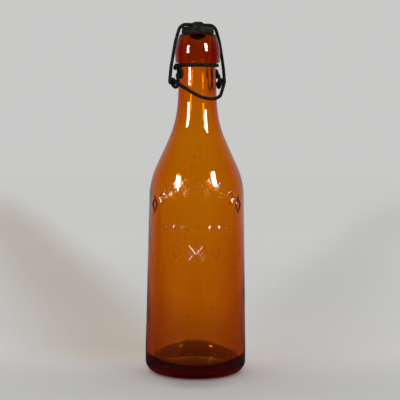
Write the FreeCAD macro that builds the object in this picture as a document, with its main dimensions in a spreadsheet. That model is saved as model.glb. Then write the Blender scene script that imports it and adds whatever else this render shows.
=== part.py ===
import FreeCAD, Part
import math
import os

# Swing top bottle. Millimetres, +Z up, origin at the middle of the base, lever towards -Y.

doc = FreeCAD.newDocument("swing_top_bottle")
sheet = doc.addObject("Spreadsheet::Sheet", "sizes")

SIZES = [
    # Glass, outside
    ("lip_top_z", 235.0),
    ("lip_height", 20.1),
    ("lip_swell", 3.3),
    ("lip_foot_swell", 3.0),
    ("lip_bulge_round", 26.0),
    ("lip_top_inset", 3.3),
    ("lip_edge_round", 1.9),
    ("lip_foot_round", 1.2),
    ("lip_root_round", 0.8),
    ("neck_top_radius", 12.3),
    ("neck_length", 40.2),
    ("neck_flare", 1.9),
    ("neck_sweep", 76.0),
    ("shoulder_height", 40.9),
    ("shoulder_round", 56.0),
    ("foot_radius", 35.1),
    ("body_taper", 2.25),
    ("heel_top_z", 18.0),
    ("heel_blend", 60.0),
    ("bearing_radius", 27.5),
    ("bearing_width", 2.2),
    ("bearing_round", 1.5),
    ("push_up", 4.5),
    ("push_up_rise", 2.7),
    ("push_up_run", 3.15),
    ("push_up_round", 6.0),
    # Glass, inside
    ("wall", 3.7),
    ("heel_wall", 5.0),
    ("neck_wall", 4.07),
    ("base_thickness", 5.5),
    ("inside_round", 7),
    ("neck_bore_radius", 7.4),
    ("bore_blend", 60.0),
    ("mouth_radius", 7.8),
    ("mouth_blend", 30.0),
    ("mouth_round", 1.6),
    # Tie wire
    ("wire_diameter", 2.3),
    ("tie_diameter", 2.4),
    ("tie_below_lip", 1.5),
    ("tie_play", 0.15),
    ("neck_gap", 0.25),
    ("pivot_below_tie", 5.8),
    ("pivot_forward", 0.6),
    ("pivot_play", 0.2),
    ("strand_bend_z", 3.2),
    ("strand_round", 4.0),
    ("hook_degrees", 260.0),
    ("knot_gap", 0.12),
    ("knot_drop", 1.2),
    ("knot_front", 1.2),
    ("knot_length", 6.4),
    ("knot_pitch", 8.4),
    # Lever
    ("crank_gap", 0.2),
    ("pivot_bend", 1.6),
    ("eye_drop", 6.6),
    ("eye_play", 0.4),
    ("coil_gap", 0.42),
    ("arm_straight", 3.0),
    ("arm_round", 5.0),
    ("loop_forward", 19.2),
    ("loop_drop", 17.0),
    ("loop_half_width", 6.5),
    ("loop_round", 13.0),
    # Bail
    ("bail_pin_gap", 0.1),
    ("bail_side_gap", 0.45),
    ("bail_foot_round", 1.4),
    ("bail_waist_in", 1.22),
    ("bail_waist_drop", 2.9),
    ("bail_waist_round", 60.0),
    ("bail_lip_gap", 0.8),
    ("bail_shoulder_drop", 5.8),
    ("bail_shoulder_round", 30.0),
    ("bail_corner_in", 3.9),
    ("bail_corner_round", 6.0),
    # Stopper
    ("seal_gap", 0.1),
    ("flange_inset", 1.1),
    ("flange_thickness", 2.0),
    ("flange_round", 0.6),
    ("plug_gap", 1.5),
    ("plug_depth", 4.8),
    ("plug_taper", 1.2),
    ("plug_taper_height", 2.0),
    ("plug_round", 2.4),
    ("plug_root_round", 0.3),
    ("cap_inset", 0.3),
    ("cap_height", 2.65),
    ("cap_rim", 2.2),
    ("cap_slope", 1.2),
    ("cap_edge_round", 0.4),
    ("cap_rim_round", 0.8),
    ("cap_dome_round", 2.5),
    ("crossbar_rest", 0.15),
    ("crossbar_play", 0.1),
    ("boss_radius", 4.4),
    ("boss_cover", 0.85),
    ("boss_root_round", 0.5),
    ("boss_round", 2.4),
    ("stem_radius", 1.6),
    ("stem_play", 0.05),
    ("stem_in_cap", 1.9),
    ("stem_end_round", 0.2),
    ("washer_radius", 3.4),
    ("washer_thickness", 0.6),
    ("rivet_radius", 2.5),
    ("rivet_height", 0.6),
    ("rivet_slope", 0.6),
    ("rivet_round", 0.5),
]
for row, (name, value) in enumerate(SIZES, 1):
    sheet.set(f"A{row}", name)
    sheet.set(f"B{row}", str(value))
    sheet.setAlias(f"B{row}", name)
doc.recompute()


def size(name):
    return float(sheet.get(name))


# Sizes that follow from the ones in the sheet

def lip_foot_z():
    return size("lip_top_z") - size("lip_height")


def lip_radius():
    return size("neck_top_radius") + size("lip_swell")


def lip_top_radius():
    return lip_radius() - size("lip_top_inset")


def neck_foot():
    """Radius and height where the neck meets the shoulder's sweep."""
    return size("neck_top_radius") + size("neck_flare"), lip_foot_z() - size("neck_length")


def shoulder():
    """Radius and height where the body meets the shoulder."""
    return size("foot_radius") - size("body_taper"), neck_foot()[1] - size("shoulder_height")


def pivot_z():
    return lip_foot_z() - size("tie_below_lip") - size("pivot_below_tie")


def wire_radius():
    return size("wire_diameter") / 2


def tie_eye_x():
    """Plane of the tie wire's eyes, just clear of the neck at the pivot's height."""
    share = (pivot_z() - neck_foot()[1]) / size("neck_length")
    neck = size("neck_top_radius") + size("neck_flare") * (1 - share)
    return neck + size("neck_gap") + wire_radius()


def crank_x():
    return tie_eye_x() + size("wire_diameter") + size("crank_gap")


def arm_x():
    return crank_x() + size("wire_diameter") + size("coil_gap")


def bail_foot_x():
    return arm_x() + size("wire_diameter") + size("bail_side_gap")


def eye_radius():
    """Middle of the wire in the lever's coiled eye, round the bail's pin."""
    return size("wire_diameter") + size("eye_play")


def seal_top():
    """Top of the rubber's flange above the lip."""
    return size("seal_gap") + size("flange_thickness")


def flange_radius():
    return lip_top_radius() - size("flange_inset")


def cap_top():
    """Top of the cap's dome above the lip."""
    return seal_top() + size("cap_height")


def crossbar_rise():
    """Middle of the bail's crossbar above the lip."""
    return cap_top() + size("crossbar_rest") + wire_radius()


# Paths and profiles: straight runs joined by tangent arcs

def corner_arc(start, corner, end):
    """Arc from start to end, tangent to the two equal legs that meet at corner."""
    to_start = (start - corner).normalize()
    to_end = (end - corner).normalize()
    half = math.acos(max(-1.0, min(1.0, to_start.dot(to_end)))) / 2
    leg = (start - corner).Length
    inward = (to_start + to_end).normalize()
    middle = corner + inward * (leg / math.cos(half) - leg * math.tan(half))
    return Part.Arc(start, middle, end)


def bent_path(points, radii):
    """Lines through points, rounded at each inner point by the radius given, or less where a line is short."""
    turns = []
    for before, corner, after in zip(points, points[1:], points[2:]):
        back = (before - corner).normalize()
        on = (after - corner).normalize()
        turns.append((back, on, math.tan(math.acos(max(-1.0, min(1.0, back.dot(on)))) / 2)))
    legs = [0.0] + [radius / slant for radius, (_, _, slant) in zip(radii, turns)] + [0.0]
    room = [start.distanceToPoint(end) for start, end in zip(points, points[1:])]
    both = [first + second for first, second in zip(legs, legs[1:])]
    fits = [min(1.0, 0.98 * length / max(needed, 1e-9)) for length, needed in zip(room, both)]
    curves = []
    here = points[0]
    for index, (back, on, _) in enumerate(turns, 1):
        leg = legs[index] * min(fits[index - 1], fits[index])
        corner = points[index]
        start = corner + back * leg
        end = corner + on * leg
        curves.append(Part.LineSegment(here, start))
        if leg > 0:
            curves.append(corner_arc(start, corner, end))
        here = end
    curves.append(Part.LineSegment(here, points[-1]))
    return [curve for curve in curves if curve.StartPoint.distanceToPoint(curve.EndPoint) > 1e-6]


def biarc(start, start_way, end, end_way):
    """Two tangent arcs from start to end that leave and arrive along the given ways."""
    across = end - start
    both = start_way + end_way
    square = 2 * (1 - start_way.dot(end_way))
    linear = 2 * across.dot(both)
    leg = (-linear + math.sqrt(linear ** 2 + 4 * square * across.dot(across))) / (2 * square)
    first = start + start_way * leg
    second = end - end_way * leg
    middle = (first + second) / 2
    return [corner_arc(start, first, middle), corner_arc(middle, second, end)]


def coil(place, from_turn, to_turn):
    """Biarcs of up to a quarter turn along the curve place(turn), which gives a point and its way."""
    count = math.ceil(abs(to_turn - from_turn) * 4)
    stops = [place(from_turn + (to_turn - from_turn) * step / count) for step in range(count + 1)]
    curves = []
    for (start, start_way), (end, end_way) in zip(stops, stops[1:]):
        curves += biarc(start, start_way, end, end_way)
    return curves


def print_least_gap(label, place, from_turn, to_turn):
    """Least gap between neighbouring turns of a coil, measured on points."""
    count = 200
    turns = [from_turn + (to_turn - from_turn) * step / count for step in range(count + 1)]
    spots = [(turn, place(turn)[0]) for turn in turns]
    apart = [
        near.distanceToPoint(far)
        for first, near in spots
        for second, far in spots
        if second - first > 0.7
    ]
    print(f"{label}: least gap between turns {min(apart) - size('wire_diameter'):.2f} mm")


def edges_of(curves):
    return [curve.toShape() for curve in curves]


def mirrored(edges):
    """The same edges on the other side of the YZ plane."""
    return [edge.mirror(FreeCAD.Vector(0, 0, 0), FreeCAD.Vector(1, 0, 0)) for edge in edges]


def swept_wire(edges, radius):
    """Round wire along edges, checked against its section times its length."""
    path = Part.Wire(Part.__sortEdges__(edges))
    first = path.OrderedEdges[0]
    start = path.OrderedVertexes[0].Point
    way = first.tangentAt(first.FirstParameter)
    section = Part.Wire(Part.makeCircle(radius, start, way))
    solid = path.makePipeShell([section], True, False)
    expected = math.pi * radius ** 2 * path.Length
    print(f"wire {path.Length:.1f} mm long, volume {solid.Volume:.1f} of {expected:.1f} mm3")
    if abs(solid.Volume / expected - 1) > 0.02:
        raise RuntimeError("swept wire has the wrong volume")
    return solid


def plane_of(body, role):
    return next(item for item in body.Origin.OriginFeatures if item.Role == role)


def revolved_body(label, curves):
    """PartDesign body: a closed profile in the XZ plane turned about Z."""
    body = doc.addObject("PartDesign::Body", label)
    body.Label = label
    sketch = body.newObject("Sketcher::SketchObject", label + "_profile")
    sketch.AttachmentSupport = (plane_of(body, "XZ_Plane"), [""])
    sketch.MapMode = "FlatFace"
    sketch.addGeometry(curves, False)
    doc.recompute()
    turned = body.newObject("PartDesign::Revolution", label + "_turned")
    turned.Profile = sketch
    turned.ReferenceAxis = (sketch, ["V_Axis"])
    turned.Angle = 360
    doc.recompute()
    return body


def flat(radius, height):
    """Profile point in the sketch's own plane."""
    return FreeCAD.Vector(radius, height, 0)


def closed_profile(outline):
    """Outline through (radius, height, rounding) corners, closed along a straight line back to the first."""
    points = [flat(radius, height) for radius, height, _ in outline]
    curves = bent_path(points, [rounding for _, _, rounding in outline[1:-1]])
    curves.append(Part.LineSegment(points[-1], points[0]))
    return curves


# Bottle: blown glass, hollow, with a blob lip and a pushed-up base

def make_glass_bottle():
    lip_top = size("lip_top_z")
    lip_foot = lip_foot_z()
    lip_middle = (lip_top + lip_foot) / 2
    foot = size("foot_radius")
    wall = size("wall")
    mouth = size("mouth_radius")
    neck_radius, neck_z = neck_foot()
    shoulder_radius, shoulder_z = shoulder()
    bearing_inside = size("bearing_radius") - size("bearing_width")
    outline = [
        (0, size("push_up"), 0),
        (bearing_inside - size("push_up_run"), size("push_up_rise"), size("push_up_round")),
        (bearing_inside, 0, size("bearing_round")),
        (foot, 0, foot - size("bearing_radius")),
        (foot, size("heel_top_z"), size("heel_blend")),
        (shoulder_radius, shoulder_z, size("shoulder_round")),
        (neck_radius, neck_z, size("neck_sweep")),
        (size("neck_top_radius"), lip_foot, size("lip_root_round")),
        (size("neck_top_radius") + size("lip_foot_swell"), lip_foot, size("lip_foot_round")),
        (lip_radius(), lip_middle, size("lip_bulge_round")),
        (lip_top_radius(), lip_top, size("lip_edge_round")),
        (mouth, lip_top, size("mouth_round")),
        (mouth, lip_middle, size("mouth_blend")),
        (size("neck_bore_radius"), lip_foot - wall, size("bore_blend")),
        (neck_radius - size("neck_wall"), neck_z + wall / 4, size("neck_sweep")),
        (shoulder_radius - wall, shoulder_z - wall / 2, size("shoulder_round")),
        (foot - size("heel_wall"), size("base_thickness"), size("inside_round")),
        (0, size("push_up") + size("base_thickness"), 0),
    ]
    return revolved_body("glass_bottle", closed_profile(outline))


# Wires share a frame with z = 0 on the lever's pivot axis

def wire_feature(label, solid):
    piece = doc.addObject("Part::Feature", label)
    piece.Label = label
    piece.Shape = solid
    below_lip = "sizes.lip_height + sizes.tie_below_lip + sizes.pivot_below_tie"
    piece.setExpression("Placement.Base.z", f"sizes.lip_top_z - ({below_lip})")
    return piece


def make_neck_tie_wire():
    ring_z = size("pivot_below_tie")
    tie_radius = size("tie_diameter") / 2
    ring_radius = size("neck_top_radius") + tie_radius + size("tie_play")
    solid = Part.makeTorus(ring_radius, tie_radius, FreeCAD.Vector(0, 0, ring_z))

    # Hanging eyes: the strand comes down behind the pin and turns under it
    middle_y = -size("pivot_forward")
    turn_radius = size("wire_diameter") + size("pivot_play")
    back_y = middle_y + turn_radius
    on_ring = math.sqrt(ring_radius ** 2 - back_y ** 2)

    def on_hook(share):
        angle = -math.radians(size("hook_degrees")) * share
        reach = turn_radius * math.cos(angle)
        return FreeCAD.Vector(tie_eye_x(), middle_y + reach, turn_radius * math.sin(angle))

    strand = [
        FreeCAD.Vector(on_ring, back_y, ring_z),
        FreeCAD.Vector(tie_eye_x(), back_y, size("strand_bend_z")),
        on_hook(0),
    ]
    hanging = bent_path(strand, [size("strand_round")])
    hanging.append(Part.Arc(on_hook(0), on_hook(0.25), on_hook(0.5)))
    hanging.append(Part.Arc(on_hook(0.5), on_hook(0.75), on_hook(1)))
    right_eye = swept_wire(edges_of(hanging), wire_radius())
    left_eye = right_eye.mirror(FreeCAD.Vector(0, 0, 0), FreeCAD.Vector(1, 0, 0))

    # Knot at the left: the wire's two ends twisted together along the ring
    twist_radius = wire_radius() + size("knot_gap") / 2
    knot_x = -size("neck_top_radius") - size("knot_gap") - twist_radius - wire_radius()
    knot_z = ring_z - size("knot_drop")
    knot_turns = size("knot_length") / size("knot_pitch")

    def on_knot(turn, half_turn):
        angle = 2 * math.pi * (turn + half_turn)
        side = FreeCAD.Vector(math.cos(angle), 0, math.sin(angle))
        middle = FreeCAD.Vector(knot_x, size("knot_pitch") * turn - size("knot_front"), knot_z)
        forward = size("knot_pitch") / (2 * math.pi * twist_radius)
        way = FreeCAD.Vector(-math.sin(angle), forward, math.cos(angle))
        return middle + side * twist_radius, way.normalize()

    strands = []
    for half_turn in (0, 0.5):
        strand_edges = edges_of(coil(lambda turn: on_knot(turn, half_turn), 0, knot_turns))
        strands.append(swept_wire(strand_edges, wire_radius()))
    print(f"knot: least gap between strands {strands[0].distToShape(strands[1])[0]:.2f} mm")
    solid = solid.fuse([right_eye, left_eye] + strands)
    return wire_feature("neck_tie_wire", solid)


# Lever: one wire with a pin and a coiled eye at each side and a thumb loop in front

def make_lever_wire():
    pivot_y = -size("pivot_forward")
    eye_z = -size("eye_drop")
    turn_radius = eye_radius()
    loop_y = -size("loop_forward")
    loop_z = -size("loop_drop")
    fall = math.atan2(eye_z - loop_z, -loop_y)
    reach = math.hypot(loop_y, loop_z - eye_z)
    arm_fall = fall + math.asin(turn_radius / reach)

    # The crank meets the coil where the line from the pivot touches it
    pivot_angle = math.atan2(-eye_z, pivot_y)
    touch = math.acos(turn_radius / math.hypot(pivot_y, eye_z))
    first_turn = (pivot_angle + touch) / (2 * math.pi)
    last_turn = 1.25 + arm_fall / (2 * math.pi)

    def on_eye(turn):
        angle = 2 * math.pi * turn
        share = (turn - first_turn) / (last_turn - first_turn)
        across = arm_x() - crank_x()
        x = crank_x() + across * share ** 2 * (3 - 2 * share)
        slope = across * 6 * share * (1 - share) / (last_turn - first_turn) / (2 * math.pi)
        place = FreeCAD.Vector(x, turn_radius * math.cos(angle), eye_z + turn_radius * math.sin(angle))
        way = FreeCAD.Vector(slope, -turn_radius * math.sin(angle), turn_radius * math.cos(angle))
        return place, way.normalize()

    print_least_gap("lever eye", on_eye, first_turn, last_turn)
    coil_start, _ = on_eye(first_turn)
    coil_end, arm_way = on_eye(last_turn)
    crank = [
        FreeCAD.Vector(tie_eye_x() - wire_radius(), pivot_y, 0),
        FreeCAD.Vector(crank_x(), pivot_y, 0),
        coil_start,
    ]
    arm = [
        coil_end,
        coil_end + arm_way * size("arm_straight"),
        FreeCAD.Vector(size("loop_half_width"), loop_y, loop_z),
        FreeCAD.Vector(0, loop_y, loop_z),
    ]
    half = edges_of(bent_path(crank, [size("pivot_bend")]))
    half += edges_of(coil(on_eye, first_turn, last_turn))
    half += edges_of(bent_path(arm, [size("arm_round"), size("loop_round")]))
    return wire_feature("lever_wire", swept_wire(half + mirrored(half), wire_radius()))


# Bail: one wire from the lever's eyes, up past the lip and across through the stopper

def make_bail_wire():
    lip_top = size("lip_top_z") - pivot_z()
    lip_foot = lip_foot_z() - pivot_z()
    crossbar = lip_top + crossbar_rise()
    eye_z = -size("eye_drop")
    shoulder_x = lip_radius() + size("bail_lip_gap") + wire_radius()
    points = [
        FreeCAD.Vector(crank_x() - wire_radius() + size("bail_pin_gap"), 0, eye_z),
        FreeCAD.Vector(bail_foot_x(), 0, eye_z),
        FreeCAD.Vector(bail_foot_x() - size("bail_waist_in"), 0, lip_foot - size("bail_waist_drop")),
        FreeCAD.Vector(shoulder_x, 0, lip_top - size("bail_shoulder_drop")),
        FreeCAD.Vector(shoulder_x - size("bail_corner_in"), 0, crossbar),
        FreeCAD.Vector(0, 0, crossbar),
    ]
    rounds = [
        size("bail_foot_round"),
        size("bail_waist_round"),
        size("bail_shoulder_round"),
        size("bail_corner_round"),
    ]
    half = edges_of(bent_path(points, rounds))
    return wire_feature("bail_wire", swept_wire(half + mirrored(half), wire_radius()))


# Stopper: rubber on a riveted stem under an iron cap, with z = 0 on the top of the lip

def on_lip(piece):
    piece.setExpression("Placement.Base.z", "sizes.lip_top_z")
    return piece


def make_rubber_seal():
    under = size("seal_gap")
    plug_foot = under - size("plug_depth")
    plug = size("mouth_radius") - size("plug_gap")
    hole = size("stem_radius") + size("stem_play")
    outline = [
        (hole, seal_top(), 0),
        (hole, plug_foot, 0),
        (plug - size("plug_taper"), plug_foot, size("plug_round")),
        (plug, plug_foot + size("plug_taper_height"), size("plug_round")),
        (plug, under, size("plug_root_round")),
        (flange_radius(), under, size("flange_round")),
        (flange_radius(), seal_top(), 0),
    ]
    return on_lip(revolved_body("rubber_seal", closed_profile(outline)))


def make_stopper_cap():
    foot = seal_top()
    top = cap_top()
    rim = flange_radius() - size("cap_inset")
    boss_top = crossbar_rise() + wire_radius() + size("crossbar_play") + size("boss_cover")
    hole = size("stem_radius") + size("stem_play")
    hole_end = foot + size("stem_in_cap") + size("stem_play")
    outline = [
        (0, hole_end, 0),
        (hole, hole_end, 0),
        (hole, foot, 0),
        (rim, foot, size("cap_edge_round")),
        (rim, foot + size("cap_rim"), size("cap_rim_round")),
        (rim - size("cap_slope"), top, size("cap_dome_round")),
        (size("boss_radius"), top, size("boss_root_round")),
        (size("boss_radius"), boss_top, size("boss_round")),
        (0, boss_top, 0),
    ]
    body = revolved_body("stopper_cap", closed_profile(outline))
    before = body.Shape.Volume

    # Hole for the bail's crossbar
    sketch = body.newObject("Sketcher::SketchObject", "crossbar_hole")
    sketch.AttachmentSupport = (plane_of(body, "YZ_Plane"), [""])
    sketch.MapMode = "FlatFace"
    hole_radius = wire_radius() + size("crossbar_play")
    middle = FreeCAD.Vector(0, crossbar_rise(), 0)
    sketch.addGeometry(Part.Circle(middle, FreeCAD.Vector(0, 0, 1), hole_radius), False)
    doc.recompute()
    bored = body.newObject("PartDesign::Pocket", "crossbar_bore")
    bored.Profile = sketch
    bored.Type = 0
    bored.Length = rim * 4
    bored.Midplane = True
    doc.recompute()
    if body.Shape.Volume > before - 1:
        raise RuntimeError("the crossbar hole was not cut")
    return on_lip(body)


def make_stopper_stem():
    stem = size("stem_radius")
    end = seal_top() + size("stem_in_cap")
    washer_foot = size("seal_gap") - size("plug_depth") - size("washer_thickness")
    rivet_foot = washer_foot - size("rivet_height")
    outline = [
        (0, end, 0),
        (stem, end, size("stem_end_round")),
        (stem, washer_foot, 0),
        (size("rivet_radius"), washer_foot, size("stem_end_round")),
        (size("rivet_radius") - size("rivet_slope"), rivet_foot, size("rivet_round")),
        (0, rivet_foot, 0),
    ]
    return on_lip(revolved_body("stopper_stem", closed_profile(outline)))


def make_stem_washer():
    disc = doc.addObject("Part::Cylinder", "washer_disc")
    disc.setExpression("Radius", "sizes.washer_radius")
    disc.setExpression("Height", "sizes.washer_thickness")
    hole = doc.addObject("Part::Cylinder", "washer_hole")
    hole.setExpression("Radius", "sizes.stem_radius + sizes.stem_play")
    hole.setExpression("Height", "sizes.washer_thickness")
    washer = doc.addObject("Part::Cut", "stem_washer")
    washer.Base = disc
    washer.Tool = hole
    washer.Label = "stem_washer"
    below = "sizes.lip_top_z + sizes.seal_gap - sizes.plug_depth - sizes.washer_thickness"
    washer.setExpression("Placement.Base.z", below)
    return washer


pieces = [
    make_glass_bottle(),
    make_neck_tie_wire(),
    make_lever_wire(),
    make_bail_wire(),
    make_stopper_cap(),
    make_rubber_seal(),
    make_stopper_stem(),
    make_stem_washer(),
]
doc.recompute()

for item in doc.Objects:
    if "Invalid" in item.State or "Error" in item.State:
        raise RuntimeError(f"{item.Name} failed: {item.State}")

os.makedirs("parts", exist_ok=True)
for piece in pieces:
    shape = piece.Shape
    if shape.isNull() or not shape.isValid() or len(shape.Solids) != 1:
        raise RuntimeError(f"{piece.Label} is not one valid solid")
    print(f"{piece.Label}: {shape.Volume:.1f} mm3, box {shape.BoundBox}")
    shape.exportStep(f"parts/{piece.Label}.step")
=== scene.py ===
import math
import random
from bisect import bisect_left

import bmesh
import bpy
from mathutils import Matrix, Vector, noise


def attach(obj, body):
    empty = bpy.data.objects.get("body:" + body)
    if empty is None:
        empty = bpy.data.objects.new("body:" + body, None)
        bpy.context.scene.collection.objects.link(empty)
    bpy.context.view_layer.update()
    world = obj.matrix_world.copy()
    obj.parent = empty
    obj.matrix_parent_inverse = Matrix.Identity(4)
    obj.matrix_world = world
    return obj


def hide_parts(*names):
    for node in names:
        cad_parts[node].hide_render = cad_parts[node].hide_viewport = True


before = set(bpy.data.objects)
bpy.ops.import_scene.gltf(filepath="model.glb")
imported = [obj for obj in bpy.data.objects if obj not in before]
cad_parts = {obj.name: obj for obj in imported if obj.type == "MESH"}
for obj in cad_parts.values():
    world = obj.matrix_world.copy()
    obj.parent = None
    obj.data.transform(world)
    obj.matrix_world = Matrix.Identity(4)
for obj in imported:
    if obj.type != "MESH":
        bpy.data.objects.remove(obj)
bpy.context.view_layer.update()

MM = 0.001

# Glass, in millimetres as in the CAD model
LIP_TOP = 235.0
LIP_HEIGHT = 20.1
LIP_SWELL = 3.3
LIP_FOOT_SWELL = 3.0
LIP_TAPER = 3.3
NECK_TOP_RADIUS = 12.3
NECK_FLARE = 1.9
NECK_LENGTH = 40.2
NECK_ROUND = 76.0
FOOT_RADIUS = 35.1
BODY_TAPER = 2.25
SHOULDER_LENGTH = 40.9
SHOULDER_ROUND = 56.0
HEEL_TOP = 18.0
HEEL_BLEND = 60.0
BEARING_RADIUS = 27.5
BEARING_WIDTH = 2.2
PUSH_UP = 4.5
PUSH_UP_SIDE = (3.15, 2.7)
WALL = 3.7
HEEL_WALL = 5.0
NECK_FOOT_WALL = 4.07
BASE_THICKNESS = 5.5
NECK_BORE = 7.4
MOUTH_RADIUS = 7.8
LIP_FOOT = LIP_TOP - LIP_HEIGHT
LIP_RADIUS = NECK_TOP_RADIUS + LIP_SWELL
NECK_FOOT = (NECK_TOP_RADIUS + NECK_FLARE, LIP_FOOT - NECK_LENGTH)
SHOULDER = (FOOT_RADIUS - BODY_TAPER, NECK_FOOT[1] - SHOULDER_LENGTH)

# Closure wires, in millimetres as in the CAD model
WIRE_RADIUS = 1.15
TIE_RADIUS = 1.2
TIE_DROP = 1.5
TIE_PLAY = 0.15
PIVOT_DROP = 5.8
PIVOT_Y = -0.6
PIVOT_PLAY = 0.2
EYE_DROP = 6.6
EYE_PLAY = 0.4
NECK_GAP = 0.25
CRANK_GAP = 0.2
COIL_GAP = 0.42
BAIL_GAP = 0.45
LIP_GAP = 0.8
CROSSBAR_RISE = 4.9
TIE_Z = LIP_FOOT - TIE_DROP
PIVOT_Z = TIE_Z - PIVOT_DROP
EYE_Z = PIVOT_Z - EYE_DROP
TIE_EYE_X = NECK_TOP_RADIUS + NECK_FLARE * (LIP_FOOT - PIVOT_Z) / NECK_LENGTH + NECK_GAP + WIRE_RADIUS
CRANK_X = TIE_EYE_X + 2 * WIRE_RADIUS + CRANK_GAP
ARM_X = CRANK_X + 2 * WIRE_RADIUS + COIL_GAP
BAIL_FOOT_X = ARM_X + 2 * WIRE_RADIUS + BAIL_GAP
BAIL_SHOULDER_X = LIP_RADIUS + LIP_GAP + WIRE_RADIUS
BAIL_TOP = LIP_TOP + CROSSBAR_RISE + WIRE_RADIUS

# The photograph is taken from the left of the lever
VIEW_AZIMUTH = math.radians(-30)
TOWARDS = Vector((-math.sin(VIEW_AZIMUTH), math.cos(VIEW_AZIMUTH), 0))
RIGHT = Vector((math.cos(VIEW_AZIMUTH), math.sin(VIEW_AZIMUTH), 0))


# Rounded outlines and wire paths

def rounded(points, radii, step=0.4):
    """Points along straight runs that are joined at each inner point by an arc of the radius given."""
    path = [points[0]]
    for before, corner, after, radius in zip(points, points[1:], points[2:], radii):
        back = (before - corner).normalized()
        on = (after - corner).normalized()
        half = math.acos(max(-1.0, min(1.0, back.dot(on)))) / 2
        leg = radius / math.tan(half)
        inward = (back + on).normalized()
        centre = corner + inward * (radius / math.sin(half))
        start = corner + back * leg - centre
        sweep = math.pi - 2 * half
        axis = back.cross(on).normalized() * -1
        count = max(3, math.ceil(radius * sweep / step))
        for index in range(count + 1):
            turn = Matrix.Rotation(sweep * index / count, 3, axis)
            path.append(centre + turn @ start)
    path.append(points[-1])
    return path


def dense(path, step):
    """The same path with points no further apart than step."""
    out = [path[0]]
    for start, end in zip(path, path[1:]):
        count = max(1, math.ceil((end - start).length / step))
        out += [start.lerp(end, index / count) for index in range(1, count + 1)]
    return out


def arc(centre, first, second, start, end, count):
    """Points about centre from start to end in radians, where first and second are two square radii."""
    turns = [start + (end - start) * index / count for index in range(count + 1)]
    return [centre + first * math.cos(turn) + second * math.sin(turn) for turn in turns]


def mirrored(path):
    return [Vector((-spot.x, spot.y, spot.z)) for spot in path]


def both_halves(half):
    """A path from its right end to its middle, carried on to its left end."""
    return half + mirrored(half)[::-1][1:]


# Mesh makers

def finish_mesh(name, bm, material, body, nodes):
    """Turns a bmesh into a shown piece that rides on a body and stands for CAD nodes."""
    mesh = bpy.data.meshes.new(name)
    bm.to_mesh(mesh)
    bm.free()
    mesh.shade_smooth()
    piece = bpy.data.objects.new(name, mesh)
    bpy.context.collection.objects.link(piece)
    mesh.materials.append(material)
    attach(piece, body)
    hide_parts(*nodes)
    return piece


def close_up(bm):
    """Merges the points that meet and turns every face outwards."""
    bmesh.ops.remove_doubles(bm, verts=bm.verts, dist=1e-6)
    bmesh.ops.recalc_face_normals(bm, faces=bm.faces)


def lathe(outline, steps):
    """Full turn of an outline of (radius, height) points about Z, in metres."""
    bm = bmesh.new()
    verts = [bm.verts.new((radius * MM, 0, height * MM)) for radius, height in outline]
    edges = [bm.edges.new(pair) for pair in zip(verts, verts[1:])]
    bmesh.ops.spin(
        bm,
        geom=verts + edges,
        cent=(0, 0, 0),
        axis=(0, 0, 1),
        angle=2 * math.pi,
        steps=steps,
        use_merge=True,
    )
    close_up(bm)
    return bm


def flat_outline(corners, step):
    """Rounded outline from (radius, height, rounding) corners."""
    points = [Vector((radius, 0, height)) for radius, height, _ in corners]
    path = dense(rounded(points, [rounding for _, _, rounding in corners[1:-1]], step), step * 2)
    return [(spot.x, spot.z) for spot in path]


# Depth of the rust's pits, and each size of pit's share of it and fineness
PITTING = 0.14
PITS = ((0.6, 420), (0.4, 1500))
WIRE_STEP = 0.35


def wire_mesh(paths, radius, closed=False):
    """Round wires along paths in millimetres, with a rusted, slightly uneven skin."""
    curve = bpy.data.curves.new("wire_path", "CURVE")
    curve.dimensions = "3D"
    curve.bevel_depth = radius * MM
    curve.bevel_resolution = 6
    curve.use_fill_caps = True
    for path in paths:
        spline = curve.splines.new("POLY")
        points = dense(path, WIRE_STEP)
        spline.points.add(len(points) - 1)
        spline.use_cyclic_u = closed
        for point, spot in zip(spline.points, points):
            point.co = (*spot * MM, 1)
    holder = bpy.data.objects.new("wire_path", curve)
    bpy.context.collection.objects.link(holder)
    mesh = bpy.data.meshes.new_from_object(holder.evaluated_get(bpy.context.evaluated_depsgraph_get()))
    bm = bmesh.new()
    bm.from_mesh(mesh)
    bpy.data.objects.remove(holder)
    bpy.data.curves.remove(curve)
    bpy.data.meshes.remove(mesh)
    close_up(bm)
    bm.normal_update()
    for vert in bm.verts:
        lump = sum(share * noise.noise(vert.co * fineness) for share, fineness in PITS)
        vert.co += vert.normal * PITTING * MM * lump
    return bm


def joined(meshes):
    """One bmesh from several."""
    merged = bmesh.new()
    for bm in meshes:
        part = bpy.data.meshes.new("part")
        bm.to_mesh(part)
        bm.free()
        merged.from_mesh(part)
        bpy.data.meshes.remove(part)
    return merged


# Node helpers

def add_node(tree, kind, inputs, **settings):
    """New node whose inputs are set to plain values or linked to the outputs of other nodes."""
    node = tree.nodes.new(kind)
    for name, value in settings.items():
        setattr(node, name, value)
    for name, value in inputs.items():
        if isinstance(value, bpy.types.NodeSocket):
            tree.links.new(value, node.inputs[name])
        else:
            node.inputs[name].default_value = value
    return node


def new_material(name):
    material = bpy.data.materials.new(name)
    material.use_nodes = True
    tree = material.node_tree
    tree.nodes.clear()
    shader = tree.nodes.new("ShaderNodeBsdfPrincipled")
    output = add_node(tree, "ShaderNodeOutputMaterial", {"Surface": shader.outputs["BSDF"]})
    return material, shader, output


def add_place(tree):
    return tree.nodes.new("ShaderNodeTexCoord").outputs["Object"]


def add_noise(tree, scale, detail=4.0, rough=0.55):
    sockets = {"Vector": add_place(tree), "Scale": scale, "Detail": detail, "Roughness": rough}
    return add_node(tree, "ShaderNodeTexNoise", sockets).outputs["Fac"]


def add_math(tree, operation, first, second):
    return add_node(tree, "ShaderNodeMath", {0: first, 1: second}, operation=operation).outputs["Value"]


def add_measure(tree, operation, first, second):
    """One number from two vectors."""
    return add_node(tree, "ShaderNodeVectorMath", {0: first, 1: second}, operation=operation).outputs["Value"]


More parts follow.
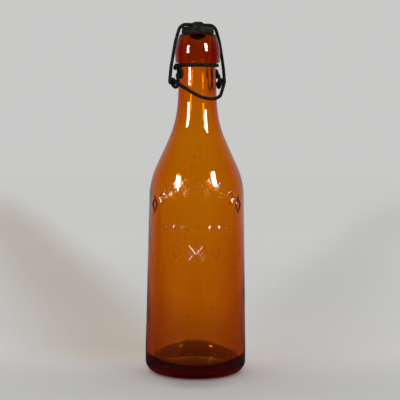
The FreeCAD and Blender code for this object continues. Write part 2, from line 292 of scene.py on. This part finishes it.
def add_range(tree, value, start, end, low, high, kind="LINEAR"):
    """A value that goes from low to high while another goes from start to end."""
    sockets = {"Value": value, "From Min": start, "From Max": end, "To Min": low, "To Max": high}
    return add_node(tree, "ShaderNodeMapRange", sockets, interpolation_type=kind).outputs["Result"]


def add_fade(tree, value, start, end, low, high):
    """The same with soft ends."""
    return add_range(tree, value, start, end, low, high, "SMOOTHSTEP")


def add_choice(tree, factor, first, second):
    """A number between two others."""
    return add_node(tree, "ShaderNodeMix", {"Factor": factor, "A": first, "B": second}).outputs["Result"]


def add_blend(tree, factor, first, second):
    """A colour between two others, each a plain colour or the output of another node."""
    ends = [(*end, 1) if isinstance(end, tuple) else end for end in (first, second)]
    sockets = {"Factor": factor, "A": ends[0], "B": ends[1]}
    return add_node(tree, "ShaderNodeMix", sockets, data_type="RGBA").outputs["Result"]


def add_bump(tree, height, distance, strength, under=None):
    sockets = {"Distance": distance, "Strength": strength, "Height": height}
    if under:
        sockets["Normal"] = under
    return add_node(tree, "ShaderNodeBump", sockets).outputs["Normal"]


def seen_rays(tree):
    """Whether a ray shows a thing to the camera in any way, comes through glass, or is mirrored."""
    ray = tree.nodes.new("ShaderNodeLightPath").outputs
    through = ray["Is Transmission Ray"]
    glossy = ray["Is Glossy Ray"]
    seen = add_math(tree, "MAXIMUM", ray["Is Camera Ray"], add_math(tree, "MAXIMUM", through, glossy))
    mirror = add_math(tree, "GREATER_THAN", glossy, through)
    return seen, through, mirror


# Materials

PLAIN_GLASS_TINT = (1.0, 0.97, 0.93)
DARKER_LIP_TINT = (0.7, 0.66, 0.63)
AMBER = (0.955, 0.766, 0.0, 1)
AMBER_DENSITY = 840.0
POLISH = (0.0, 0.03)
WORN_UNDERSIDE = 0.8
LIP_TINT_FADE = 1.0


def amber_glass():
    """Amber through its thickness, tinted darker on the lip and worn rough underneath."""
    material, shader, output = new_material("amber_glass")
    tree = material.node_tree
    place = add_place(tree)
    flat = add_node(tree, "ShaderNodeVectorMath", {0: place, 1: (1, 1, 0)}, operation="MULTIPLY")
    away = add_measure(tree, "LENGTH", flat.outputs["Vector"], (0, 0, 0))
    height = add_node(tree, "ShaderNodeSeparateXYZ", {"Vector": place}).outputs["Z"]

    # The base colour turns to a darker tint over the whole lip, faded in round the lip's foot
    lip_tint_from = (LIP_FOOT - LIP_TINT_FADE) * MM
    lip_tint_to = (LIP_FOOT + LIP_TINT_FADE) * MM
    lip_tint = add_range(tree, height, lip_tint_from, lip_tint_to, 0.0, 1.0)
    tree.links.new(add_blend(tree, lip_tint, PLAIN_GLASS_TINT, DARKER_LIP_TINT), shader.inputs["Base Color"])
    shader.inputs["Transmission Weight"].default_value = 1.0
    shader.inputs["IOR"].default_value = 1.5

    inner = add_range(tree, away, BEARING_RADIUS * MM, (BEARING_RADIUS - 0.3) * MM, 0.0, 1.0)
    low = add_range(tree, height, (PUSH_UP + 0.4) * MM, (PUSH_UP + 0.2) * MM, 0.0, 1.0)
    underside = add_range(tree, add_math(tree, "MULTIPLY", inner, low), 0.0, 1.0, 0.0, WORN_UNDERSIDE)
    polish = add_range(tree, add_noise(tree, 180), 0.0, 1.0, *POLISH)
    tree.links.new(add_math(tree, "MAXIMUM", polish, underside), shader.inputs["Roughness"])

    swell = add_bump(tree, add_noise(tree, 55, 2.0), 0.0012, 0.10)
    ripple = add_bump(tree, add_noise(tree, 240, 3.0), 0.0004, 0.06, swell)
    tree.links.new(ripple, shader.inputs["Normal"])
    stain = add_node(tree, "ShaderNodeVolumeAbsorption", {"Color": AMBER, "Density": AMBER_DENSITY})
    tree.links.new(stain.outputs["Volume"], output.inputs["Volume"])
    return material


def flaking_rust():
    """Node group of bare iron and rust in patches, with a lumpy and scaly skin."""
    group = bpy.data.node_groups.new("flaking_rust", "ShaderNodeTree")
    colour, number, vector = "NodeSocketColor", "NodeSocketFloat", "NodeSocketVector"
    for name, kind in (("Iron", colour), ("Rust", colour), ("Iron Share", number)):
        group.interface.new_socket(name, in_out="INPUT", socket_type=kind)
    for name, kind in (("Base Color", colour), ("Roughness", number), ("Normal", vector)):
        group.interface.new_socket(name, in_out="OUTPUT", socket_type=kind)
    given = group.nodes.new("NodeGroupInput").outputs
    patches = add_noise(group, 300, 6.0, 0.65)
    all_iron = add_math(group, "SUBTRACT", given["Iron Share"], 0.12)
    all_rust = add_math(group, "ADD", given["Iron Share"], 0.16)
    rusted = add_range(group, patches, all_iron, all_rust, 0.0, 1.0)
    lumps = add_bump(group, add_noise(group, 330, 3.0), 0.0012, 0.7)
    scale = add_bump(group, add_noise(group, 1400, 5.0, 0.7), 0.0003, 0.6, lumps)
    add_node(group, "NodeGroupOutput", {
        "Base Color": add_blend(group, rusted, given["Iron"], given["Rust"]),
        "Roughness": add_range(group, patches, 0.0, 1.0, 0.55, 0.9),
        "Normal": scale,
    })
    return group


def rusted_iron(name, iron, rust, share):
    material, shader, _ = new_material(name)
    tree = material.node_tree
    shader.inputs["Metallic"].default_value = 0.2
    shader.inputs["Specular IOR Level"].default_value = 0.14
    sockets = {"Iron": (*iron, 1), "Rust": (*rust, 1), "Iron Share": share}
    skin = add_node(tree, "ShaderNodeGroup", sockets, node_tree=RUST_GROUP)
    for finish in ("Base Color", "Roughness", "Normal"):
        tree.links.new(skin.outputs[finish], shader.inputs[finish])
    return material


def old_rubber():
    material, shader, _ = new_material("old_rubber")
    tree = material.node_tree
    shader.inputs["Specular IOR Level"].default_value = 0.15
    cloud = add_noise(tree, 420, 5.0)
    faded = add_range(tree, cloud, 0.35, 0.75, 0.0, 1.0)
    tone = add_blend(tree, faded, (0.012, 0.009, 0.008), (0.045, 0.03, 0.024))
    tree.links.new(tone, shader.inputs["Base Color"])
    tree.links.new(add_range(tree, cloud, 0.0, 1.0, 0.6, 0.9), shader.inputs["Roughness"])
    tree.links.new(add_bump(tree, add_noise(tree, 1600), 0.0002, 0.4), shader.inputs["Normal"])
    return material


RUST_GROUP = flaking_rust()
GLASS = amber_glass()
WIRE_IRON = rusted_iron("rusted_wire", (0.004, 0.0032, 0.0026), (0.03, 0.017, 0.010), 0.56)
CAP_IRON = rusted_iron("cast_cap", (0.006, 0.005, 0.004), (0.13, 0.098, 0.07), 0.6)
RUBBER = old_rubber()


# Bottle: blown glass with seeds in its wall and a raised ornament on its front

def glass_outline():
    """Outside and inside halves of the glass profile, from the base's middle to the mouth and back."""
    lip_middle = (LIP_TOP + LIP_FOOT) / 2
    lip_top_radius = LIP_RADIUS - LIP_TAPER
    bearing_inside = BEARING_RADIUS - BEARING_WIDTH
    outside = [
        (0, PUSH_UP, 0),
        (bearing_inside - PUSH_UP_SIDE[0], PUSH_UP_SIDE[1], 6),
        (bearing_inside, 0, 1.5),
        (FOOT_RADIUS, 0, FOOT_RADIUS - BEARING_RADIUS),
        (FOOT_RADIUS, HEEL_TOP, HEEL_BLEND),
        (*SHOULDER, SHOULDER_ROUND),
        (*NECK_FOOT, NECK_ROUND),
        (NECK_TOP_RADIUS, LIP_FOOT, 0.8),
        (NECK_TOP_RADIUS + LIP_FOOT_SWELL, LIP_FOOT, 1.2),
        (LIP_RADIUS, lip_middle, 26),
        (lip_top_radius, LIP_TOP, 1.9),
        ((lip_top_radius + MOUTH_RADIUS) / 2, LIP_TOP, 0),
    ]
    inside = [
        outside[-1],
        (MOUTH_RADIUS, LIP_TOP, 1.6),
        (MOUTH_RADIUS, lip_middle, 30),
        (NECK_BORE, LIP_FOOT - WALL, 60),
        (NECK_FOOT[0] - NECK_FOOT_WALL, NECK_FOOT[1] + WALL / 4, NECK_ROUND),
        (SHOULDER[0] - WALL, SHOULDER[1] - WALL / 2, SHOULDER_ROUND),
        (FOOT_RADIUS - HEEL_WALL, BASE_THICKNESS, 7.0),
        (0, PUSH_UP + BASE_THICKNESS, 0),
    ]
    return flat_outline(outside, 0.7), flat_outline(inside, 1.2)


def side_wall(outline):
    """Heights and radii up the outside, between the heel and the neck."""
    side = sorted((z, radius) for radius, z in outline if 12 < z < LIP_FOOT - 6)
    return [z for z, _ in side], [radius for _, radius in side]


def side_radius(wall, height):
    """Radius of the side wall at a height."""
    heights, radii = wall
    after = min(max(bisect_left(heights, height), 1), len(heights) - 1)
    share = (height - heights[after - 1]) / (heights[after] - heights[after - 1])
    return radii[after - 1] + (radii[after] - radii[after - 1]) * share


# Ornament: lozenges in an arch, a row of beads and a row of lozenges, in millimetres and degrees
ARCH_TOP = 132.0
ARCH_DROP = 16.0
ARCH_BEND = 1.35
ARCH_PITCH = 15
BEADS_Z = 103.0
BEADS_PITCH = 14
ROW_Z = 86.5
ROW_PITCH = 15.5
LOZENGE = (3.1, 4.8)
MARGIN = (1.8, 2.6)
LINE = 0.9
BEAD = 2.6
RELIEF = 0.48


def raised(away):
    """Height of a raised figure with soft sides: 1 on its top, 0 from where away reaches 1."""
    rise = min(1.0, max(0.0, 1.5 * (1 - away)))
    return rise * rise * (3 - 2 * rise)


def figure_places():
    """Middles of the lozenges, in an arch over a row, and of the beads between the two, across and up."""
    arch = [math.radians(ARCH_PITCH * index) for index in range(-4, 5)]
    lozenges = [(turn, ARCH_TOP - ARCH_DROP * (1 - math.cos(ARCH_BEND * turn))) for turn in arch]
    lozenges += [(math.radians(ROW_PITCH * index), ROW_Z) for index in (-1.5, -0.5, 0.5, 1.5)]
    beads = [(math.radians(BEADS_PITCH * index), BEADS_Z) for index in range(-3, 4)]
    return [[(turn * SHOULDER[0], height) for turn, height in places] for places in (lozenges, beads)]


def near_figure(places, across, height):
    """Whether a place on the front is in or just round a figure."""
    half_width, half_height = LOZENGE
    if not ROW_Z - 2 * half_height < height < ARCH_TOP + 2 * half_height:
        return False
    for middle, level in places[0] + places[1]:
        if abs(height - level) < half_height + MARGIN[1] and abs(across - middle) < half_width + MARGIN[0]:
            return True
    return False


def ornament(places, across, height):
    """Relief on the front, between 0 and 1: lozenges drawn in a raised line, and beads."""
    lozenges, beads = places
    half_width, half_height = LOZENGE
    across_line = half_width * half_height / math.hypot(half_width, half_height)
    away = 1.0
    for middle, level in lozenges:
        outward = abs(across - middle) / half_width + abs(height - level) / half_height
        away = min(away, abs(outward - 1) * across_line / LINE)
    for middle, level in beads:
        away = min(away, math.hypot(across - middle, height - level) / BEAD)
    return raised(away)


def front_turn(spot):
    """Angle about the axis from the side that the photograph shows."""
    return math.atan2(spot.dot(RIGHT), -spot.dot(TOWARDS))


def front_to_turn(degrees):
    """Angle from +X of the place that many degrees right of the photographed front."""
    way = RIGHT * math.sin(math.radians(degrees)) - TOWARDS * math.cos(math.radians(degrees))
    return math.atan2(way.y, way.x)


# Unevenness of the walls: depth in millimetres, fineness and a shift that sets its pattern
OUTER_WAVE = (0.12, 60, 3.0)
INNER_WAVES = ((0.4, 42, 21.0), (0.12, 130, 17.0))
EVEN_BELOW = (14, 14)
EVEN_ABOVE = (188, 16)


def wave(spot, fineness, shift):
    """Slow unevenness of blown glass, between about -1 and 1."""
    return noise.noise(Vector((spot.x * fineness, spot.y * fineness, spot.z * fineness * 0.45 + shift)))


def settle(height):
    """Fades the unevenness out at the heel and under the lip, where other pieces fit."""
    heel, heel_fade = EVEN_BELOW
    neck, neck_fade = EVEN_ABOVE
    return min(1.0, max(0.0, (height - heel) / heel_fade), max(0.0, (neck - height) / neck_fade))


def refine_front(bm, places):
    """Finer faces on the outside where the ornament stands."""
    front = []
    for face in bm.faces:
        middle = face.calc_center_median()
        outward = face.normal.dot(Vector((middle.x, middle.y, 0)))
        if outward > 0 and near_figure(places, front_turn(middle) * SHOULDER[0], middle.z / MM):
            front.append(face)
    edges = list(dict.fromkeys(edge for face in front for edge in face.edges))
    bmesh.ops.subdivide_edges(bm, edges=edges, cuts=4, use_grid_fill=True)
    bm.normal_update()


def blow(bm, wall, places):
    """Makes the walls uneven and raises the ornament on the outside."""
    outer_depth, outer_fineness, outer_shift = OUTER_WAVE
    for vert in bm.verts:
        height = vert.co.z / MM
        around = Vector((vert.co.x, vert.co.y, 0))
        radius = around.length / MM
        uneven = settle(height)
        if radius < 1 or uneven == 0:
            continue
        if vert.normal.dot(around) > 0:
            radius = side_radius(wall, height)
            across = front_turn(vert.co) * SHOULDER[0]
            if near_figure(places, across, height):
                radius += RELIEF * ornament(places, across, height)
            radius -= uneven * outer_depth * (1 + wave(vert.co, outer_fineness, outer_shift))
        else:
            waves = [depth * wave(vert.co, fineness, shift) for depth, fineness, shift in INNER_WAVES]
            radius -= uneven * sum(waves)
        around = around.normalized() * radius * MM
        vert.co.x = around.x
        vert.co.y = around.y


# Seeds: how many, and their heights, radii and depths in the wall, with one larger bubble in the base
SEED_COUNT = 90
SEED_HEIGHTS = (30, 180)
SEED_LEAST = 0.15
SEED_SPREAD = 0.35
SEED_DEPTHS = (1.3, 2.2)
SEED_STRETCH = 1.6
BASE_BUBBLE = (front_to_turn(-135), 4.3, 24.0, 0.8)


def make_seeds(wall):
    """Small air bubbles shut in the glass, with their skins facing inwards."""
    bm = bmesh.new()
    chance = random.Random(11)
    spots = []
    for _ in range(SEED_COUNT):
        turn = chance.uniform(0, 2 * math.pi)
        height = chance.uniform(*SEED_HEIGHTS)
        spots.append((turn, height, SEED_LEAST + SEED_SPREAD * chance.random() ** 3))
    seeds = []
    for turn, height, radius in spots:
        seeds.append((turn, height, side_radius(wall, height) - chance.uniform(*SEED_DEPTHS), radius))
    seeds.append(BASE_BUBBLE)
    stretch = Matrix.Diagonal((1, 1, SEED_STRETCH, 1))
    for turn, height, away, radius in seeds:
        place = Vector((math.cos(turn) * away, math.sin(turn) * away, height)) * MM
        upright = Matrix.Translation(place) @ stretch
        bmesh.ops.create_icosphere(bm, subdivisions=2, radius=radius * MM, matrix=upright)
    bmesh.ops.reverse_faces(bm, faces=bm.faces)
    return bm


def make_glass():
    outside, inside = glass_outline()
    wall = side_wall(outside)
    places = figure_places()
    bm = lathe(outside + inside[1:], 128)
    refine_front(bm, places)
    blow(bm, wall, places)
    glass = joined([bm, make_seeds(wall)])
    finish_mesh("blown_bottle", glass, GLASS, "bottle", ["glass_bottle"])


# Closure wires: knot, lever and bail sizes in millimetres
HOOK_TURN = math.radians(260)
HOOK_STEM = 3.2
HOOK_BEND = 4.0
KNOT_LENGTH = 6.4
KNOT_PITCH = 8.4
KNOT_START = -1.2
KNOT_DROP = 1.2
KNOT_GAP = 0.06
KNOT_NECK_GAP = 0.12
LOOP_Y = -19.2
LOOP_DROP = 17.0
LOOP_HALF_WIDTH = 6.5
LEVER_BENDS = (1.6, 5.0, 13.0)
ARM_LEAD = 3.0
PIN_END = 0.1
BAIL_LEAN = 1.22
BAIL_KNEE_DROP = 2.9
BAIL_SHOULDER_DROP = 5.8
BAIL_DRAW_IN = 3.9
BAIL_BENDS = (1.4, 60.0, 30.0, 6.0)


def neck_ring():
    """Middle line of the tie's ring round the neck, and its radius."""
    radius = NECK_TOP_RADIUS + TIE_RADIUS + TIE_PLAY
    line = arc(Vector((0, 0, TIE_Z)), Vector((radius, 0, 0)), Vector((0, radius, 0)), 0, 2 * math.pi, 160)
    return line[:-1], radius


def hanging_hook(ring_radius):
    """Hook that hangs from the ring at the right and holds the lever's pin."""
    radius = 2 * WIRE_RADIUS + PIVOT_PLAY
    back_y = PIVOT_Y + radius
    middle = Vector((TIE_EYE_X, PIVOT_Y, PIVOT_Z))
    hook = arc(middle, Vector((0, radius, 0)), Vector((0, 0, radius)), 0, -HOOK_TURN, 48)
    stem = [
        Vector((math.sqrt(ring_radius ** 2 - back_y ** 2), back_y, TIE_Z)),
        Vector((TIE_EYE_X, back_y, PIVOT_Z + HOOK_STEM)),
        hook[0],
    ]
    return rounded(stem, [HOOK_BEND])[:-1] + hook


def knot_strands():
    """The two wire ends twisted together at the left of the ring."""
    twist = WIRE_RADIUS + KNOT_GAP
    knot_x = -NECK_TOP_RADIUS - KNOT_NECK_GAP - twist - WIRE_RADIUS
    strands = []
    for half_turn in (0, math.pi):
        line = []
        for index in range(41):
            along = KNOT_LENGTH * index / 40
            turn = 2 * math.pi * along / KNOT_PITCH + half_turn
            side = Vector((math.cos(turn), 0, math.sin(turn))) * twist
            line.append(Vector((knot_x, along + KNOT_START, TIE_Z - KNOT_DROP)) + side)
        strands.append(line)
    return strands


def lever_half():
    """Lever from its right pin, through its coiled eye, to the middle of the thumb loop."""
    eye_radius = 2 * WIRE_RADIUS + EYE_PLAY
    loop_z = PIVOT_Z - LOOP_DROP
    fall = math.atan2(EYE_Z - loop_z, -LOOP_Y)
    reach = math.hypot(LOOP_Y, loop_z - EYE_Z)
    arm_fall = fall + math.asin(eye_radius / reach)
    pivot_angle = math.atan2(PIVOT_Z - EYE_Z, PIVOT_Y)
    first = pivot_angle + math.acos(eye_radius / math.hypot(PIVOT_Y, PIVOT_Z - EYE_Z))
    last = 2.5 * math.pi + arm_fall
    coil = []
    for index in range(49):
        share = index / 48
        angle = first + (last - first) * share
        x = CRANK_X + (ARM_X - CRANK_X) * share ** 2 * (3 - 2 * share)
        coil.append(Vector((x, eye_radius * math.cos(angle), EYE_Z + eye_radius * math.sin(angle))))
    way = Vector((0, -math.cos(arm_fall), -math.sin(arm_fall)))
    crank = [
        Vector((TIE_EYE_X - WIRE_RADIUS, PIVOT_Y, PIVOT_Z)),
        Vector((CRANK_X, PIVOT_Y, PIVOT_Z)),
        coil[0],
    ]
    arm = [
        coil[-1],
        coil[-1] + way * ARM_LEAD,
        Vector((LOOP_HALF_WIDTH, LOOP_Y, loop_z)),
        Vector((0, LOOP_Y, loop_z)),
    ]
    return rounded(crank, LEVER_BENDS[:1])[:-1] + coil + rounded(arm, LEVER_BENDS[1:])[1:]


def bail_half():
    """Bail from its right pin, up past the lip, to the middle of its crossbar."""
    points = [
        Vector((CRANK_X - WIRE_RADIUS + PIN_END, 0, EYE_Z)),
        Vector((BAIL_FOOT_X, 0, EYE_Z)),
        Vector((BAIL_FOOT_X - BAIL_LEAN, 0, LIP_FOOT - BAIL_KNEE_DROP)),
        Vector((BAIL_SHOULDER_X, 0, LIP_TOP - BAIL_SHOULDER_DROP)),
        Vector((BAIL_SHOULDER_X - BAIL_DRAW_IN, 0, BAIL_TOP)),
        Vector((0, 0, BAIL_TOP)),
    ]
    return rounded(points, BAIL_BENDS)


def make_wires():
    ring, ring_radius = neck_ring()
    hook = hanging_hook(ring_radius)
    strands = [hook, mirrored(hook)] + knot_strands()
    tie = joined([wire_mesh([ring], TIE_RADIUS, closed=True), wire_mesh(strands, WIRE_RADIUS)])
    finish_mesh("twisted_tie", tie, WIRE_IRON, "bottle", ["neck_tie_wire"])
    lever = wire_mesh([both_halves(lever_half())], WIRE_RADIUS)
    finish_mesh("bent_lever", lever, WIRE_IRON, "lever", ["lever_wire"])
    bail = wire_mesh([both_halves(bail_half())], WIRE_RADIUS)
    finish_mesh("bent_bail", bail, WIRE_IRON, "bail", ["bail_wire"])


# Stopper: the CAD pieces with their own finishes

def dress_stopper():
    for name, material in (
        ("stopper_cap", CAP_IRON),
        ("rubber_seal", RUBBER),
        ("stopper_stem", CAP_IRON),
        ("stem_washer", CAP_IRON),
    ):
        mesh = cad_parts[name].data
        mesh.materials.clear()
        mesh.materials.append(material)


make_glass()
make_wires()
dress_stopper()


# Studio: pale paper that fades into a pale surround, two tall soft lights and a soft sky

PAPER = (0.72, 0.72, 0.713)
UNLIT_PAPER = (0.02, 0.02, 0.02)
BLACK = (0.0, 0.0, 0.0)
FLOOR_RADIUS = 2.4

# Each fade is where it starts and ends, in metres, and its value at the start and at the end
MIRROR_FADE = (-0.2, 1.2, 1.0, 0.0)
MIRROR_SPREAD = 0.3
UNDER_SHADE = (0.024, 0.034, 0.97, 0.0)
HEEL_SHADE = (0.036, 0.075, 0.9, 0.0)
DOME_SHADE = (0.085, 0.125, 0.82, 0.0)
DOME_BEND = 7.5
LOW_SHADE = (0.1, 0.32, 0.3, 0.0)
FRONT_SHADE = (0.008, 0.03, 0.22, 0.0)
FRONT_MIDDLE = 0.035
SHADOW_START = (-0.01, 0.08, 0.0, 1.0)
SHADOW_END = (0.8, 1.7, 1.0, 0.0)
SHADOW_INNER = (-0.05, 0.03, 0.0, 1.0)
SHADOW_OUTER = (0.04, 0.15, 1.0, 0.0)
SHADOW_SLOPE = 0.25
LEFT_SHADOW = (0.585, 0.54, 0.475)
RIGHT_SHADOW = (0.65, 0.645, 0.625)
NEAR_LIFT = (-0.06, 0.08, 0.06, 0.16)
FAR_LIFT = (0.2, 0.8, 0.0, 0.065)
EDGE_FADE = (0.5 * FLOOR_RADIUS, FLOOR_RADIUS, 0.0, 1.0)


def foot_shade(tree, place, along, from_foot, through):
    """Shade where the bottle stands, deepest as seen through its base."""
    under = add_fade(tree, from_foot, *UNDER_SHADE)
    front = add_fade(tree, add_measure(tree, "DISTANCE", place, TOWARDS * -FRONT_MIDDLE), *FRONT_SHADE)
    bulge = add_measure(tree, "DOT_PRODUCT", place, RIGHT * DOME_BEND)
    dome = add_math(tree, "ADD", along, add_math(tree, "MULTIPLY", bulge, bulge))
    seen_through = add_fade(tree, dome, *DOME_SHADE)
    for distance, shade in ((from_foot, HEEL_SHADE), (along, LOW_SHADE)):
        seen_through = add_math(tree, "MAXIMUM", seen_through, add_fade(tree, distance, *shade))
    inside = add_math(tree, "MULTIPLY", through, seen_through)
    return add_math(tree, "MAXIMUM", front, add_math(tree, "MAXIMUM", under, inside))


def shadowed_paper(tree, place, along):
    """Paper with soft shadows back from the foot, the left one tinted by the light through the bottle."""
    start = add_fade(tree, along, *SHADOW_START)
    spread = add_math(tree, "MULTIPLY", start, add_fade(tree, along, *SHADOW_END))
    tone = PAPER
    for side, tint in ((-1, LEFT_SHADOW), (1, RIGHT_SHADOW)):
        off = add_measure(tree, "DOT_PRODUCT", place, RIGHT * side - TOWARDS * SHADOW_SLOPE)
        inner = add_fade(tree, off, *SHADOW_INNER)
        band = add_math(tree, "MULTIPLY", inner, add_fade(tree, off, *SHADOW_OUTER))
        tone = add_blend(tree, add_math(tree, "MULTIPLY", spread, band), tone, tint)
    return tone


def pale_paper():
    """Pale paper that looks evenly lit from near to far, shaded round the bottle's foot."""
    material, shader, output = new_material("pale_paper")
    tree = material.node_tree
    place = add_place(tree)
    seen, through, mirror = seen_rays(tree)
    along = add_measure(tree, "DOT_PRODUCT", place, TOWARDS)
    from_foot = add_measure(tree, "DISTANCE", place, (0, 0, 0))

    # Only the paper well behind the bottle shines in its sides
    right_of = add_measure(tree, "DOT_PRODUCT", place, RIGHT * MIRROR_SPREAD)
    left_of = add_measure(tree, "DOT_PRODUCT", place, RIGHT * -MIRROR_SPREAD)
    aside = add_math(tree, "MAXIMUM", right_of, left_of)
    nearness = add_fade(tree, add_math(tree, "SUBTRACT", along, aside), *MIRROR_FADE)
    unlit = add_math(tree, "MULTIPLY", mirror, nearness)

    tone = shadowed_paper(tree, place, along)
    tone = add_blend(tree, foot_shade(tree, place, along, from_foot, through), tone, BLACK)
    tone = add_blend(tree, unlit, tone, UNLIT_PAPER)
    near_lift = add_fade(tree, along, *NEAR_LIFT)
    lift = add_math(tree, "ADD", near_lift, add_fade(tree, along, *FAR_LIFT))
    tree.links.new(tone, shader.inputs["Base Color"])
    tree.links.new(tone, shader.inputs["Emission Color"])
    tree.links.new(add_math(tree, "MULTIPLY", seen, lift), shader.inputs["Emission Strength"])
    shader.inputs["Roughness"].default_value = 0.9
    shader.inputs["Specular IOR Level"].default_value = 0.1

    # The edge of the paper fades into the surround
    clear = tree.nodes.new("ShaderNodeBsdfTransparent").outputs["BSDF"]
    edge = add_fade(tree, from_foot, *EDGE_FADE)
    sheet = add_node(tree, "ShaderNodeMixShader", {"Fac": edge, 1: shader.outputs["BSDF"], 2: clear})
    tree.links.new(sheet.outputs["Shader"], output.inputs["Surface"])
    return material


def make_floor():
    bm = bmesh.new()
    bmesh.ops.create_circle(bm, cap_ends=True, segments=96, radius=FLOOR_RADIUS)
    mesh = bpy.data.meshes.new("paper_floor")
    bm.to_mesh(mesh)
    bm.free()
    floor = bpy.data.objects.new("paper_floor", mesh)
    bpy.context.collection.objects.link(floor)
    mesh.materials.append(pale_paper())


# Lights, in metres; the gleam is just in front of its softbox
LIGHT_AWAY = 0.8
GLEAM_GAP = 0.005
LIGHT_WIDTH = 0.19
SOFTBOX_SHARE = 0.1


def make_light(name, azimuth, height, tall, power):
    """Upright softbox, with the share of its power that lights the paper; the rest only gleams in the glass."""
    turn = VIEW_AZIMUTH + math.radians(azimuth)
    way = Vector((math.sin(turn), -math.cos(turn), 0))
    middle = Vector((0, 0, height))
    for part, share, away in (
        ("softbox", SOFTBOX_SHARE, LIGHT_AWAY),
        ("gleam", 1 - SOFTBOX_SHARE, LIGHT_AWAY - GLEAM_GAP),
    ):
        lamp = bpy.data.lights.new(name + "_" + part, "AREA")
        lamp.shape = "RECTANGLE"
        lamp.size = LIGHT_WIDTH
        lamp.size_y = tall
        lamp.energy = power * share
        holder = bpy.data.objects.new(lamp.name, lamp)
        bpy.context.collection.objects.link(holder)
        place = way * away + middle
        holder.location = place
        holder.rotation_euler = (middle - place).to_track_quat("-Z", "Y").to_euler()
        holder.visible_diffuse = part == "softbox"


# Camera as fitted to the photograph, in metres, pixels and degrees
SENSOR_WIDTH = 36
FOCAL_PIXELS = 1256
PICTURE_PIXELS = 400
CAMERA_AWAY = 0.8714
CAMERA_HEIGHT = 0.1994
AIM_RIGHT = 0.0024
AIM_HEIGHT = 0.1201
CAMERA_ROLL = 0.43


def make_camera():
    camera = bpy.data.cameras.new("photo_camera")
    camera.sensor_width = SENSOR_WIDTH
    camera.lens = SENSOR_WIDTH * FOCAL_PIXELS / PICTURE_PIXELS
    holder = bpy.data.objects.new("photo_camera", camera)
    bpy.context.collection.objects.link(holder)
    place = TOWARDS * -CAMERA_AWAY + Vector((0, 0, CAMERA_HEIGHT))
    aim = RIGHT * AIM_RIGHT + Vector((0, 0, AIM_HEIGHT))
    holder.location = place
    level = (aim - place).to_track_quat("-Z", "Y").to_matrix()
    holder.rotation_euler = (level @ Matrix.Rotation(math.radians(CAMERA_ROLL), 3, "Z")).to_euler()
    bpy.context.scene.camera = holder


# Surround as it is seen, and sky as a light; each fade is by how far a way faces the camera
PALE = 0.585
SKY = 0.82
SKY_FADE = (0.1, 0.5, SKY, 0.01)
MIRRORED_FADE = (-1.0, -0.15, 0.8 * PALE, 0.0)


def make_sky():
    """Soft light all round but from the camera's side, where it would veil the glass, in a pale surround."""
    world = bpy.data.worlds.new("soft_sky")
    world.use_nodes = True
    tree = world.node_tree
    way = tree.nodes.new("ShaderNodeTexCoord").outputs["Generated"]
    facing = add_measure(tree, "DOT_PRODUCT", way, -TOWARDS)
    seen, _, mirror = seen_rays(tree)
    surround = add_choice(tree, mirror, PALE, add_range(tree, facing, *MIRRORED_FADE))
    strength = add_choice(tree, seen, add_fade(tree, facing, *SKY_FADE), surround)
    background = tree.nodes["Background"]
    background.inputs["Color"].default_value = (1, 1, 0.99, 1)
    tree.links.new(strength, background.inputs["Strength"])
    bpy.context.scene.world = world
    bpy.context.scene.view_settings.view_transform = "Standard"


make_floor()
make_light("left", azimuth=-50, height=0.42, tall=0.31, power=7.5)
make_light("right", azimuth=47, height=0.51, tall=0.35, power=8.7)
make_camera()
make_sky()
